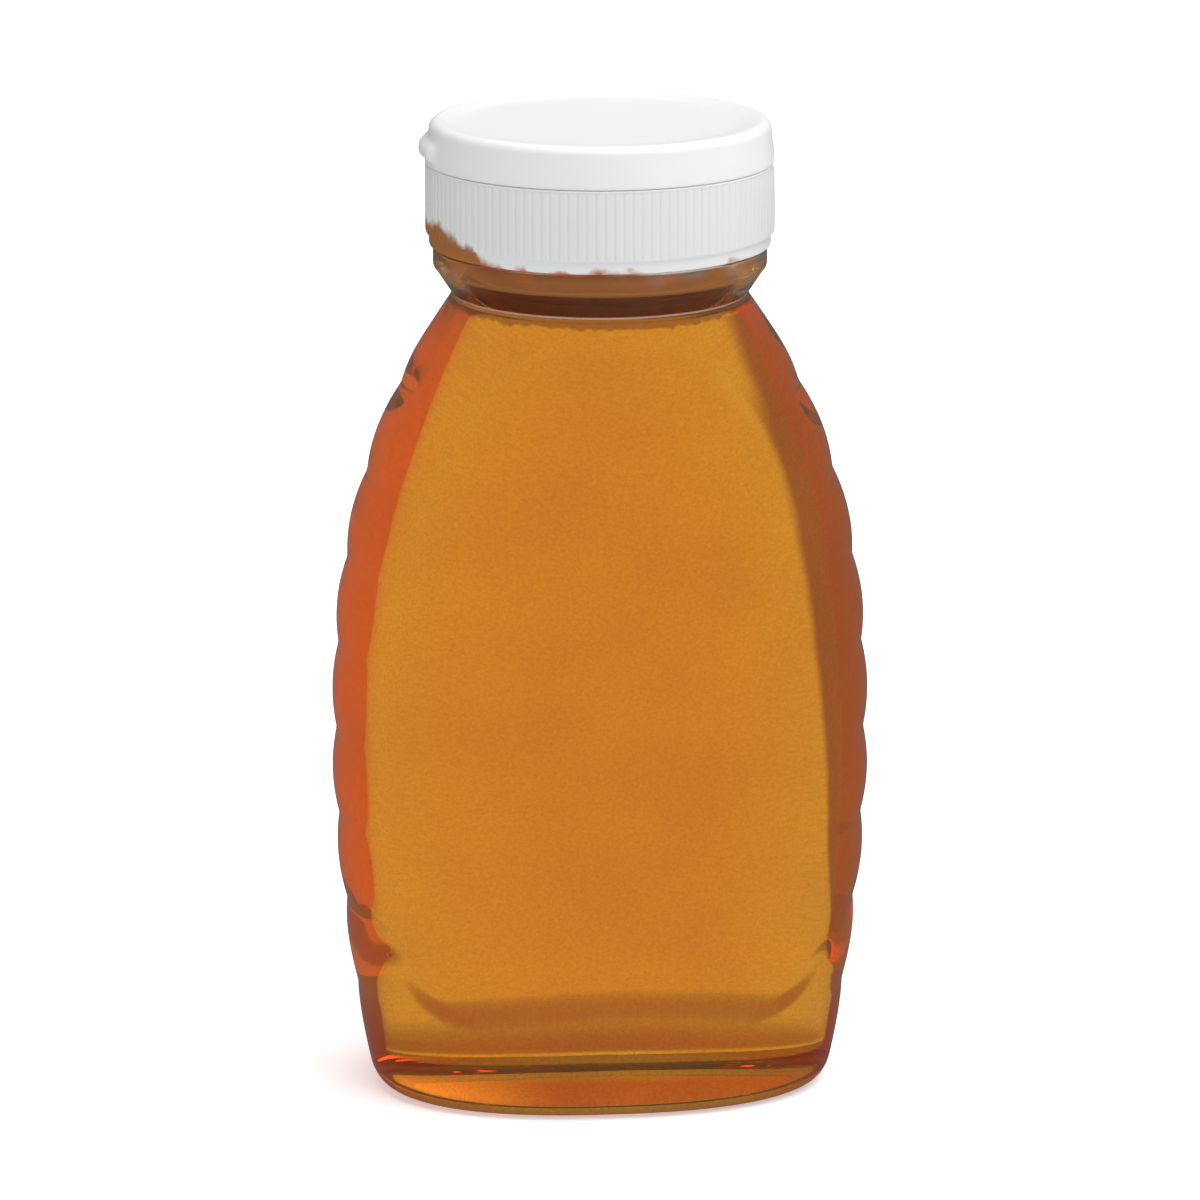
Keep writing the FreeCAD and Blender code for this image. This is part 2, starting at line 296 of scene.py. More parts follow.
def thread_ridge(root, reach, start, turns):
    """ridge on a helix, tapered to nothing at both ends; reach is its signed height, and its foot
    lies THREAD_ROOT nearer to the axis than its wall's face"""
    steps = int(90 * turns)
    base = root - THREAD_ROOT
    form = bmesh.new()
    rows = []
    for k in range(steps + 1):
        a = 2.0 * math.pi * turns * k / steps
        tip = root + reach * smooth(k / 9.0) * smooth((steps - k) / 9.0)
        z = start + THREAD_PITCH * turns * k / steps
        rows.append([form.verts.new((r * math.cos(a) * MM, r * math.sin(a) * MM, (z + up) * MM))
                     for r, up in ((base, -0.75), (tip, -0.34), (tip, 0.34), (base, 0.75))])
    close_rows(form, rows)
    return form


def add_form(piece, form):
    """adds the faces of a bmesh to a piece's mesh"""
    extra = bpy.data.meshes.new("extra")
    form.to_mesh(extra)
    form.free()
    joined = bmesh.new()
    joined.from_mesh(piece.data)
    joined.from_mesh(extra)
    joined.to_mesh(piece.data)
    joined.free()
    bpy.data.meshes.remove(extra)


def set_math(nodes, operation, *numbers):
    """a maths node; None leaves its socket for a link"""
    node = nodes.new("ShaderNodeMath")
    node.operation = operation
    for socket, number in zip(node.inputs, numbers):
        if number is not None:
            socket.default_value = number
    return node


def add_ramp(nodes, links, value, low, high, least, most):
    """value taken from low..high to least..most, smoothly"""
    ramp = nodes.new("ShaderNodeMapRange")
    ramp.interpolation_type = "SMOOTHSTEP"
    for label, number in (("From Min", low), ("From Max", high), ("To Min", least),
                          ("To Max", most)):
        if isinstance(number, bpy.types.NodeSocket):
            links.new(number, ramp.inputs[label])
        else:
            ramp.inputs[label].default_value = number
    links.new(value, ramp.inputs["Value"])
    return ramp.outputs["Result"]


def add_mix(nodes, links, factor, first, second):
    """a colour that goes from first to second with factor"""
    mix = nodes.new("ShaderNodeMix")
    mix.data_type = "RGBA"
    links.new(factor, mix.inputs[0])
    for socket, colour in ((mix.inputs[6], first), (mix.inputs[7], second)):
        if isinstance(colour, tuple):
            socket.default_value = colour
        else:
            links.new(colour, socket)
    return mix.outputs[2]


def add_noise(nodes, links, place, scale, detail):
    """noise that stays with the piece; place is where it is read"""
    noise = nodes.new("ShaderNodeTexNoise")
    noise.inputs["Detail"].default_value = detail
    links.new(place, noise.inputs["Vector"])
    if isinstance(scale, bpy.types.NodeSocket):
        links.new(scale, noise.inputs["Scale"])
    else:
        noise.inputs["Scale"].default_value = scale
    return noise.outputs["Fac"]


def surface_grain():
    """unevenness that moulded and blown plastic share: a fine grain and broad waves"""
    group = bpy.data.node_groups.new("surface_grain", "ShaderNodeTree")
    nodes, links = group.nodes, group.links
    taken, given = nodes.new("NodeGroupInput"), nodes.new("NodeGroupOutput")
    place = nodes.new("ShaderNodeTexCoord")
    for name, size, detail in (("Grain", 0.4, 2.0), ("Waves", 8.0, 1.0)):
        socket = group.interface.new_socket(name=name + " Size", in_out="INPUT",
                                            socket_type="NodeSocketFloat")
        socket.default_value = size
        group.interface.new_socket(name=name, in_out="OUTPUT", socket_type="NodeSocketFloat")
        scale = set_math(nodes, "DIVIDE", 1000.0)
        links.new(taken.outputs[name + " Size"], scale.inputs[1])
        links.new(add_noise(nodes, links, place.outputs["Object"], scale.outputs["Value"], detail),
                  given.inputs[name])
    return group


GRAIN = surface_grain()


def new_material(name, grain_size, wave_size):
    """a material with its shader and its own grain"""
    material = bpy.data.materials.new(name)
    material.use_nodes = True
    grain = material.node_tree.nodes.new("ShaderNodeGroup")
    grain.node_tree = GRAIN
    grain.inputs["Grain Size"].default_value = grain_size
    grain.inputs["Waves Size"].default_value = wave_size
    return material, material.node_tree.nodes["Principled BSDF"], grain


def add_bump(material, shader, source, strength, distance):
    """raises the surface by a value between 0 and 1"""
    bump = material.node_tree.nodes.new("ShaderNodeBump")
    bump.inputs["Strength"].default_value = strength
    bump.inputs["Distance"].default_value = distance * MM
    material.node_tree.links.new(source, bump.inputs["Height"])
    material.node_tree.links.new(bump.outputs["Normal"], shader.inputs["Normal"])


def honey_residue():
    """where honey has run: ragged towards Rim, more of it towards the -X side"""
    group = bpy.data.node_groups.new("honey_residue", "ShaderNodeTree")
    face = group.interface
    for name, value in (("Rim", 0.102), ("Height", 0.004), ("Clear At", 0.0), ("Full At", -0.02),
                        ("Stretch", 1.0)):
        socket = face.new_socket(name=name, in_out="INPUT", socket_type="NodeSocketFloat")
        socket.default_value = value
    face.new_socket(name="Residue", in_out="OUTPUT", socket_type="NodeSocketFloat")
    nodes, links = group.nodes, group.links
    taken, given = nodes.new("NodeGroupInput"), nodes.new("NodeGroupOutput")
    place = nodes.new("ShaderNodeTexCoord")
    split = nodes.new("ShaderNodeSeparateXYZ")
    links.new(place.outputs["Object"], split.inputs["Vector"])
    lean = add_ramp(nodes, links, split.outputs["X"], taken.outputs["Clear At"],
                    taken.outputs["Full At"], 0.0, 1.3)
    above = set_math(nodes, "SUBTRACT")
    links.new(split.outputs["Z"], above.inputs[0])
    links.new(taken.outputs["Rim"], above.inputs[1])
    share = set_math(nodes, "DIVIDE")
    links.new(above.outputs["Value"], share.inputs[0])
    links.new(taken.outputs["Height"], share.inputs[1])
    reach = set_math(nodes, "SUBTRACT")
    links.new(lean, reach.inputs[0])
    links.new(share.outputs["Value"], reach.inputs[1])
    along = nodes.new("ShaderNodeCombineXYZ")
    links.new(taken.outputs["Stretch"], along.inputs["Z"])
    along.inputs["X"].default_value = 1.0
    along.inputs["Y"].default_value = 1.0
    spread = nodes.new("ShaderNodeVectorMath")
    spread.operation = "MULTIPLY"
    links.new(place.outputs["Object"], spread.inputs[0])
    links.new(along.outputs["Vector"], spread.inputs[1])
    ragged = set_math(nodes, "MULTIPLY_ADD", None, 1.6, -0.8)
    links.new(add_noise(nodes, links, spread.outputs["Vector"], 330.0, 3.0), ragged.inputs[0])
    total = set_math(nodes, "ADD")
    links.new(reach.outputs["Value"], total.inputs[0])
    links.new(ragged.outputs["Value"], total.inputs[1])
    links.new(add_ramp(nodes, links, total.outputs["Value"], 0.0, 0.45, 0.0, 1.0),
              given.inputs["Residue"])
    return group


RESIDUE = honey_residue()


def add_residue(material, shader, plain, honeyed, **settings):
    """colours the surface as honeyed where honey has run; settings are the mask's, in metres"""
    nodes, links = material.node_tree.nodes, material.node_tree.links
    mask = nodes.new("ShaderNodeGroup")
    mask.node_tree = RESIDUE
    for name, number in settings.items():
        mask.inputs[name.replace("_", " ").title()].default_value = number
    links.new(add_mix(nodes, links, mask.outputs["Residue"], plain, honeyed),
              shader.inputs["Base Color"])


def clear_plastic(name):
    material, shader, grain = new_material(name, 0.6, 9.0)
    shader.inputs["Base Color"].default_value = CLEAR_TINT
    shader.inputs["Roughness"].default_value = 0.0
    shader.inputs["IOR"].default_value = 1.5
    shader.inputs["Transmission Weight"].default_value = 1.0
    add_bump(material, shader, grain.outputs["Waves"], 0.25, 0.12)
    return material


def edge_plastic():
    """the fine moulding line round the neck, a little frosted"""
    material = clear_plastic("clear_plastic_edge")
    shader = material.node_tree.nodes["Principled BSDF"]
    shader.inputs["Roughness"].default_value = 0.35
    shader.inputs["Transmission Weight"].default_value = 0.72
    return material


def wet_plastic():
    """the wall where honey touches it: honey bends light as the wall does, so nothing shows"""
    material = bpy.data.materials.new("clear_plastic_wet")
    material.use_nodes = True
    nodes = material.node_tree.nodes
    nodes.remove(nodes["Principled BSDF"])
    clear = nodes.new("ShaderNodeBsdfTransparent")
    material.node_tree.links.new(clear.outputs["BSDF"], nodes["Material Output"].inputs["Surface"])
    return material


def filmed_plastic(name, **settings):
    """clear plastic that honey has run over"""
    material = clear_plastic(name)
    shader = material.node_tree.nodes["Principled BSDF"]
    shader.inputs["Transmission Weight"].default_value = 0.8
    add_residue(material, shader, FILM_THIN, FILM_THICK, **settings)
    return material


def outward_of(middle, normal):
    """more than 0 where a face looks away from the bottle's axis"""
    return middle.x * normal.x + middle.y * normal.y


def is_wet(middle, normal):
    """True on the inner wall below the honey's surface"""
    if middle.z > (HONEY_LEVEL + 0.2) * MM:
        return False
    if middle.z > (PUSHUP_HEIGHT + 4 * WALL) * MM:
        return outward_of(middle, normal) < 0.0
    return middle.z > WALL * MM * 0.9 and normal.z > 0.0 or outward_of(middle, normal) < -1e-9


def is_in_neck(middle, normal):
    """True on the inner wall above the honey's surface"""
    return middle.z > HONEY_LEVEL * MM and outward_of(middle, normal) < 0.0


def finish_of(middle, normal):
    """which of the bottle's materials a face has"""
    if is_wet(middle, normal):
        return 1
    if is_in_neck(middle, normal):
        return 2
    if middle.z > (BEAD_LOW - 1.2) * MM:
        return 3
    if MOULD_LINE[0] * MM < middle.z < MOULD_LINE[1] * MM:
        return 4
    return 0


bottle = skin("bottle_body", bottle_rings())
clean(bottle)
add_form(bottle, thread_ridge(FINISH_R, THREAD_HEIGHT, THREAD_START, 1.0))
shade(bottle)
for material in (clear_plastic("clear_plastic"), wet_plastic(),
                 filmed_plastic("clear_plastic_filmed", rim=0.106, height=0.012, clear_at=0.018,
                                full_at=-0.004, stretch=0.3),
                 filmed_plastic("clear_plastic_smeared", rim=0.1018, height=0.0035,
                                clear_at=0.002, full_at=-0.019),
                 edge_plastic()):
    bottle.data.materials.append(material)
for face in bottle.data.polygons:
    face.material_index = finish_of(face.center, face.normal)
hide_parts("bottle")
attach(bottle, "bottle")


# ---------------------------------------------------------------- honey
# Clear amber honey, very slightly cloudy with fine crystals, fills the body up to the foot of the
# neck. A painted shade darkens its rim, and it climbs the wall a little all round.
HONEY_REACH = 0.4
CRYSTALS = (0.93, 0.9, 0.88, 1.0)
STREAKS = (0.96, 0.93, 0.97, 1.0)
PAINTED_RIM_SHADE = (0.5, 0.4, 0.7, 1.0)
PAINTED_GLOW = (0.027, 0.035, 0.0135, 1.0)
AMBER = (0.975, 0.775, 0.06, 1.0)
AMBER_DENSITY = 150.0


def honey_rings():
    """from the middle of the base, inside the wall, up to the surface and its middle"""
    draw = WALL - HONEY_REACH
    side = body_rings(draw, BODY_HEIGHT - WALL, draw, BORE_R + HONEY_REACH)
    top = [(BORE_R + HONEY_REACH, BODY_HEIGHT - 0.3), (BORE_R + HONEY_REACH, HONEY_LEVEL + HONEY_CLIMB),
           (BORE_R, HONEY_LEVEL + HONEY_CLIMB), (BORE_R - 0.15, HONEY_LEVEL + 0.22),
           (BORE_R - 0.5, HONEY_LEVEL + 0.08), (BORE_R - 1.1, HONEY_LEVEL + 0.02),
           (BORE_R - 2.0, HONEY_LEVEL)]
    top += [(r, HONEY_LEVEL) for r in (12.0, 8.0, 4.0, 1.0)]
    return floor_rings(side[0], draw, draw) + side + [round_ring(r, z) for r, z in top]


def honey_material():
    """bends light only at its open surface, as the wall that it meets bends light as it does;
    its sides carry a painted glow that stands for the little light its cloudiness scatters, weaker
    at its base, and a painted dark band just under its surface"""
    material = bpy.data.materials.new("honey")
    material.use_nodes = True
    nodes, links = material.node_tree.nodes, material.node_tree.links
    surface = nodes["Principled BSDF"]
    surface.inputs["Base Color"].default_value = (0.95, 0.9, 0.85, 1.0)
    surface.inputs["Roughness"].default_value = 0.0
    surface.inputs["Transmission Weight"].default_value = 1.0
    surface.inputs["IOR"].default_value = 1.49
    place = nodes.new("ShaderNodeTexCoord")
    split = nodes.new("ShaderNodeSeparateXYZ")
    links.new(place.outputs["Object"], split.inputs["Vector"])
    tint = None
    for size, detail, low, high, dark in ((0.36, 2.0, 0.38, 0.62, CRYSTALS),
                                          (11.0, 1.0, 0.35, 0.65, STREAKS)):
        level = nodes.new("ShaderNodeMapRange")
        level.inputs["From Min"].default_value = low
        level.inputs["From Max"].default_value = high
        links.new(add_noise(nodes, links, place.outputs["Object"], 1000.0 / size, detail),
                  level.inputs["Value"])
        cloud = add_mix(nodes, links, level.outputs["Result"], dark, (1.0, 1.0, 1.0, 1.0))
        if tint is not None:
            both = nodes.new("ShaderNodeMix")
            both.data_type = "RGBA"
            both.blend_type = "MULTIPLY"
            both.inputs[0].default_value = 1.0
            links.new(cloud, both.inputs[6])
            links.new(tint, both.inputs[7])
            cloud = both.outputs[2]
        tint = cloud
    # painted shade: a dark band on the honey's wall just under its surface, with a ragged edge
    height = set_math(nodes, "MULTIPLY_ADD", None, 0.0015)
    links.new(add_noise(nodes, links, place.outputs["Object"], 700.0, 2.0), height.inputs[0])
    links.new(split.outputs["Z"], height.inputs[2])
    rim_shade_share = add_ramp(nodes, links, height.outputs["Value"], (HONEY_LEVEL - 0.9) * MM,
                     (HONEY_LEVEL - 0.5) * MM, 0.0, 1.0)
    wall = nodes.new("ShaderNodeBsdfTransparent")
    links.new(add_mix(nodes, links, rim_shade_share, tint, PAINTED_RIM_SHADE), wall.inputs["Color"])
    # painted glow: the honey's sides give off light that stands for what its cloudiness scatters,
    # weaker towards the base
    glow = nodes.new("ShaderNodeEmission")
    glow.inputs["Color"].default_value = PAINTED_GLOW
    links.new(add_ramp(nodes, links, split.outputs["Z"], 4 * MM, 12 * MM, 0.3, 1.0),
              glow.inputs["Strength"])
    lit_wall = nodes.new("ShaderNodeAddShader")
    links.new(wall.outputs["BSDF"], lit_wall.inputs[0])
    links.new(glow.outputs["Emission"], lit_wall.inputs[1])
    open_face = set_math(nodes, "GREATER_THAN", None, (HONEY_LEVEL - 0.02) * MM)
    links.new(split.outputs["Z"], open_face.inputs[0])
    either = nodes.new("ShaderNodeMixShader")
    links.new(open_face.outputs["Value"], either.inputs["Fac"])
    links.new(lit_wall.outputs["Shader"], either.inputs[1])
    links.new(surface.outputs["BSDF"], either.inputs[2])
    links.new(either.outputs["Shader"], nodes["Material Output"].inputs["Surface"])
    amber = nodes.new("ShaderNodeVolumeAbsorption")
    amber.inputs["Color"].default_value = AMBER
    amber.inputs["Density"].default_value = AMBER_DENSITY
    links.new(amber.outputs["Volume"], nodes["Material Output"].inputs["Volume"])
    return material


honey = skin("honey_fill", honey_rings())
clean(honey)
shade(honey, math.radians(60.0))
honey.data.materials.append(honey_material())
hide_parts("honey")
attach(honey, "bottle")


# ---------------------------------------------------------------- cap
# The screw cap is moulded in white plastic: a skirt with fine upright ribs between two smooth
# bands, and a sunk deck with a short spout. It screws down over the neck to just above the bead.
CAP_R = 20.5
CAP_FOOT = BEAD_HIGH + 0.2
SKIRT_BORE = 18.7
DECK_LOW = MOUTH + 0.3
DECK_TOP = DECK_LOW + 1.5
PARTING = DECK_TOP + 0.5
CAP_RIBS = 120
CAP_RIB_DEPTH = 0.08
SEAM = 0.07
SPOUT_R = 4.5
ORIFICE_R = 3.2
SEAL_R = 16.05
CAP_THREAD_HEIGHT = 0.8
HINGE_X = CAP_R - 0.75
HINGE_FACE = HINGE_X - 0.1
HINGE_HALF = 5.6
HINGE_SLOPE = math.tan(math.radians(58.0))
SMEAR = (0.42, 0.15, 0.03, 1.0)


def turned(name, profile):
    """closed ring mesh from (radius, level) points, in order round its section"""
    form = bmesh.new()
    rows = []
    for r, z in profile:
        if r < 1e-6:
            rows.append([form.verts.new((0.0, 0.0, z * MM))] * AROUND)
        else:
            rows.append([form.verts.new((x * MM, y * MM, h * MM))
                         for x, y, h in round_ring(r, z)])
    pairs = list(zip(rows, rows[1:]))
    if profile[0][0] > 1e-6:
        pairs.append((rows[-1], rows[0]))
    for a, b in pairs:
        for k in range(AROUND):
            n = (k + 1) % AROUND
            corners = []
            for v in (a[k], a[n], b[n], b[k]):
                if v not in corners:
                    corners.append(v)
            if len(corners) > 2:
                form.faces.new(corners)
    mesh = bpy.data.meshes.new(name)
    form.to_mesh(mesh)
    form.free()
    piece = bpy.data.objects.new(name, mesh)
    scene.collection.objects.link(piece)
    return piece


def cut_hinge(piece):
    """draws the wall in to the wedge that frees both sides of the hinge line"""
    for vert in piece.data.vertices:
        x, y, z = (c / MM for c in vert.co)
        if x > HINGE_X - 1.0 and abs(y) < HINGE_HALF:
            limit = HINGE_FACE + abs(z - PARTING) / HINGE_SLOPE
            if x > limit:
                vert.co.x = limit * MM


def skirt_profile():
    """section of the skirt, deck, spout and mouth seal, from the skirt's inner foot round"""
    band, base, lip = CAP_R - 0.45, CAP_R - CAP_RIB_DEPTH - 0.02, CAP_R - 0.05
    top, ledge = PARTING - SEAM / 2, CAP_R - 2.4
    rib_low, rib_high = CAP_FOOT + 1.7, top - 0.35
    points = [(SKIRT_BORE, CAP_FOOT + 0.2), (SKIRT_BORE + 0.2, CAP_FOOT), (band - 0.3, CAP_FOOT),
              (band - 0.08, CAP_FOOT + 0.1), (band, CAP_FOOT + 0.35), (band, rib_low - 0.1),
              (band + 0.03, rib_low), (base - 0.02, rib_low + 0.06), (base, rib_low + 0.2)]
    points += [(base, rib_low + (rib_high - rib_low) * t / 6) for t in range(1, 6)]
    points += [(base, rib_high - 0.12), (lip - 0.08, rib_high), (lip, rib_high + 0.1),
               (lip, top - 0.12), (lip - 0.04, top - 0.04), (lip - 0.12, top), (CAP_R - 1.2, top),
               (ledge + 0.1, top), (ledge, top - 0.1), (ledge, DECK_TOP + 0.12),
               (ledge - 0.12, DECK_TOP)]
    points += [(SPOUT_R + out, DECK_TOP + up)
               for out, up in ((0.3, 0.0), (0.05, 0.06), (0.0, 0.2), (-0.05, 0.88), (-0.17, 1.0))]
    points += [(ORIFICE_R + 0.15, DECK_TOP + 1.0), (ORIFICE_R, DECK_TOP + 0.85),
               (ORIFICE_R, DECK_LOW)]
    points += [(SEAL_R - inward, DECK_LOW - down)
               for inward, down in ((0.85, 0.0), (0.8, 1.6), (0.15, 1.6), (0.0, 1.4), (0.0, 0.0))]
    return points + [(SKIRT_BORE, DECK_LOW)]


def one_rib():
    """upright rib at the skirt's side, rounded over its face and at both ends"""
    low, high = CAP_FOOT + 1.62, PARTING - SEAM / 2 - 0.3
    half = math.pi * CAP_R / CAP_RIBS * 0.86
    form = bmesh.new()
    rows = []
    for t, size in ((0.0, 0.2), (0.02, 0.75), (0.05, 1.0), (0.5, 1.0), (0.96, 1.0), (1.0, 0.6)):
        row = []
        for k in range(7):
            a = math.pi * k / 6
            out = CAP_RIB_DEPTH * math.sin(a) ** 0.8 * size - 0.03
            row.append(form.verts.new(((CAP_R - CAP_RIB_DEPTH + out) * MM,
                                       -half * math.cos(a) * MM, (low + (high - low) * t) * MM)))
        rows.append(row)
    close_rows(form, rows)
    mesh = bpy.data.meshes.new("cap_rib")
    form.to_mesh(mesh)
    form.free()
    return mesh


def set_around(name, mesh, count, material):
    """repeats a mesh evenly about the bottle's axis and returns one plain mesh"""
    tree = bpy.data.node_groups.new(name + "_around", "GeometryNodeTree")
    for label, kind, flow in (("Piece", "NodeSocketGeometry", "INPUT"),
                              ("Count", "NodeSocketInt", "INPUT"),
                              ("Finish", "NodeSocketMaterial", "INPUT"),
                              ("Pieces", "NodeSocketGeometry", "OUTPUT")):
        tree.interface.new_socket(name=label, in_out=flow, socket_type=kind)
    nodes, links = tree.nodes, tree.links
    taken, given = nodes.new("NodeGroupInput"), nodes.new("NodeGroupOutput")
    points = nodes.new("GeometryNodePoints")
    place = nodes.new("GeometryNodeInstanceOnPoints")
    index = nodes.new("GeometryNodeInputIndex")
    step = set_math(nodes, "DIVIDE", 2.0 * math.pi)
    turn = set_math(nodes, "MULTIPLY")
    angles = nodes.new("ShaderNodeCombineXYZ")
    realize = nodes.new("GeometryNodeRealizeInstances")
    finish = nodes.new("GeometryNodeSetMaterial")
    links.new(taken.outputs["Count"], points.inputs["Count"])
    links.new(taken.outputs["Count"], step.inputs[1])
    links.new(index.outputs["Index"], turn.inputs[0])
    links.new(step.outputs["Value"], turn.inputs[1])
    links.new(turn.outputs["Value"], angles.inputs["Z"])
    links.new(points.outputs["Points"], place.inputs["Points"])
    links.new(taken.outputs["Piece"], place.inputs["Instance"])
    links.new(angles.outputs["Vector"], place.inputs["Rotation"])
    links.new(place.outputs["Instances"], realize.inputs["Geometry"])
    links.new(realize.outputs["Geometry"], finish.inputs["Geometry"])
    links.new(taken.outputs["Finish"], finish.inputs["Material"])
    links.new(finish.outputs["Geometry"], given.inputs["Pieces"])
    maker = bpy.data.objects.new(name + "_maker", mesh)
    scene.collection.objects.link(maker)
    modifier = maker.modifiers.new("around", "NODES")
    modifier.node_group = tree
    sockets = {item.name: item.identifier for item in tree.interface.items_tree}
    modifier[sockets["Count"]] = count
    modifier[sockets["Finish"]] = material
    ready = maker.evaluated_get(bpy.context.evaluated_depsgraph_get())
    made = bpy.data.meshes.new_from_object(ready)
    maker.modifiers.clear()
    bpy.data.objects.remove(maker)
    return made


def white_plastic():
    """semi-matt, slightly see-through at thin edges, with a faint moulded grain"""
    material, shader, grain = new_material("white_plastic", 0.35, 12.0)
    nodes, links = material.node_tree.nodes, material.node_tree.links
    tone = nodes.new("ShaderNodeMapRange")
    tone.inputs["To Min"].default_value = 0.825
    tone.inputs["To Max"].default_value = 0.855
    links.new(grain.outputs["Waves"], tone.inputs["Value"])
    cool = set_math(nodes, "MULTIPLY", None, 1.012)
    links.new(tone.outputs["Result"], cool.inputs[0])
    white = nodes.new("ShaderNodeCombineColor")
    for channel, level in (("Red", tone.outputs["Result"]), ("Green", cool.outputs["Value"]),
                           ("Blue", cool.outputs["Value"])):
        links.new(level, white.inputs[channel])
    add_residue(material, shader, white.outputs["Color"], SMEAR,
                rim=(CAP_FOOT + 0.1) * MM, height=0.003, clear_at=-0.009, full_at=-0.0215)
    gloss = nodes.new("ShaderNodeMapRange")
    gloss.inputs["To Min"].default_value = 0.3
    gloss.inputs["To Max"].default_value = 0.42
    links.new(grain.outputs["Grain"], gloss.inputs["Value"])
    links.new(gloss.outputs["Result"], shader.inputs["Roughness"])
    shader.inputs["Subsurface Weight"].default_value = 0.12
    shader.inputs["Subsurface Scale"].default_value = 0.0012
    shader.inputs["Subsurface Radius"].default_value = (1.0, 1.0, 1.0)
    add_bump(material, shader, grain.outputs["Grain"], 0.12, 0.02)
    return material


WHITE = white_plastic()
cap = turned("screw_cap", skirt_profile())
clean(cap)
ribs = set_around("cap_ribs", one_rib(), CAP_RIBS, WHITE)
rib_form = bmesh.new()
rib_form.from_mesh(ribs)
add_form(cap, rib_form)
add_form(cap, thread_ridge(SKIRT_BORE, -CAP_THREAD_HEIGHT, THREAD_START + THREAD_PITCH / 2, 0.75))
cut_hinge(cap)
cap.data.materials.clear()
cap.data.materials.append(WHITE)
shade(cap)
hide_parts("cap")
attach(cap, "bottle")


# ---------------------------------------------------------------- lid
# The flip lid is moulded with the cap in the same white plastic: a shallow round cover with a
# rounded rim, a slightly sunk top, a collar that closes round the spout and a thumb tab opposite
# the hinge.
LID_LOW = PARTING + SEAM / 2
CREST = PARTING + 4.9
LID_DRAFT = 0.5
RIM_R = 1.1
RIM_SLOPE = 2.0
TOP_RECESS = 0.4
TAB_REACH = 0.9
TAB_LOW = PARTING + 0.5
TAB_HEIGHT = 2.9
TAB_HALF = 5.5
COLLAR_BORE = SPOUT_R + 0.25
COLLAR_R = COLLAR_BORE + 1.0


def lid_wall_r(z):
    """the wall's radius, which narrows a little upwards"""
    return CAP_R - LID_DRAFT * max(0.0, z - LID_LOW) / (CREST - RIM_R - LID_LOW)


def lid_profile():
    """section of the lid, from the middle of its top over the rim and back inside"""
    rim = CAP_R - LID_DRAFT - RIM_R
    start = math.radians(108.0)
    slope = rim + RIM_R * math.cos(start) - RIM_SLOPE
    floor = CREST - TOP_RECESS
    points = [(0.0, floor - 0.15)]
    points += [(r, floor - 0.15 + 0.12 * (r / slope) ** 2) for r in (4.0, 8.0, 12.0, 14.5)]
    points += [(slope - 0.2, floor - 0.02), (slope, floor + 0.01), (slope + 0.2, floor + 0.05)]
    for k in range(15):
        a = start * (1.0 - k / 14)
        points.append((rim + RIM_R * math.cos(a), CREST - RIM_R * (1.0 - math.sin(a))))
    low, high = LID_LOW + 0.12, CREST - RIM_R
    for k in range(1, 15):
        z = high - (high - low) * k / 14
        points.append((lid_wall_r(z), z))
    points += [(CAP_R - 0.05, LID_LOW + 0.03), (CAP_R - 0.13, LID_LOW)]
    inner = CAP_R - 1.2
    inner_top = inner - LID_DRAFT
    under = CREST - TOP_RECESS - 1.3
    foot = DECK_TOP + 0.3
    points += [(inner + 0.1, LID_LOW), (inner, LID_LOW + 0.1), (inner_top, under - 0.8),
               (inner_top - 0.25, under - 0.25), (inner_top - 0.8, under),
               (COLLAR_R + 0.25, under), (COLLAR_R + 0.05, under - 0.1),
               (COLLAR_R - 0.01, under - 0.3), (COLLAR_R - 0.03, foot + 0.1),
               (COLLAR_R - 0.15, foot), (COLLAR_BORE + 0.15, foot),
               (COLLAR_BORE + 0.01, foot + 0.15), (COLLAR_BORE, under), (0.0, under)]
    return points


def raise_tab(piece):
    """swells the wall out into the thumb tab"""
    for vert in piece.data.vertices:
        x, y, z = (c / MM for c in vert.co)
        r = math.hypot(x, y)
        if r < lid_wall_r(z) - 0.3 or x > 0.0:
            continue
        t = (z - TAB_LOW) / TAB_HEIGHT
        if 0.0 <= t <= 1.0:
            level = smooth(t / 0.3) * (1.0 - smooth((t - 0.5) / 0.5))
            out = TAB_REACH * level * smooth((TAB_HALF - abs(y)) / 1.4)
            vert.co.x *= (r + out) / r
            vert.co.y *= (r + out) / r


lid = turned("flip_lid", lid_profile())
clean(lid)
raise_tab(lid)
cut_hinge(lid)
lid.data.materials.append(WHITE)
shade(lid)
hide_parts("lid")
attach(lid, "lid")


# ---------------------------------------------------------------- hinge strap
# A thin web of the same plastic joins cap and lid along the hinge line; on the real cap it bends
# when the lid is opened, but here it stays flat.
STRAP_THICK = 0.3
STRAP_HALF = 5.2
STRAP_REACH = 0.6
STRAP_STEPS = 12


def strap_mesh():
    """flat web, in level steps"""
    back = HINGE_FACE - STRAP_THICK
    form = bmesh.new()
    rows = []
    for k in range(STRAP_STEPS + 1):
        z = PARTING - STRAP_REACH + 2 * STRAP_REACH * k / STRAP_STEPS
        rows.append([form.verts.new((x * MM, y * MM, z * MM))
                     for x, y in ((back, -STRAP_HALF), (HINGE_FACE, -STRAP_HALF),
                                  (HINGE_FACE, STRAP_HALF), (back, STRAP_HALF))])
    close_rows(form, rows)
    mesh = bpy.data.meshes.new("hinge_strap")
    form.to_mesh(mesh)
    form.free()
    return mesh


strap = bpy.data.objects.new("hinge_strap", strap_mesh())
scene.collection.objects.link(strap)
strap.data.materials.append(WHITE)
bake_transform(strap)
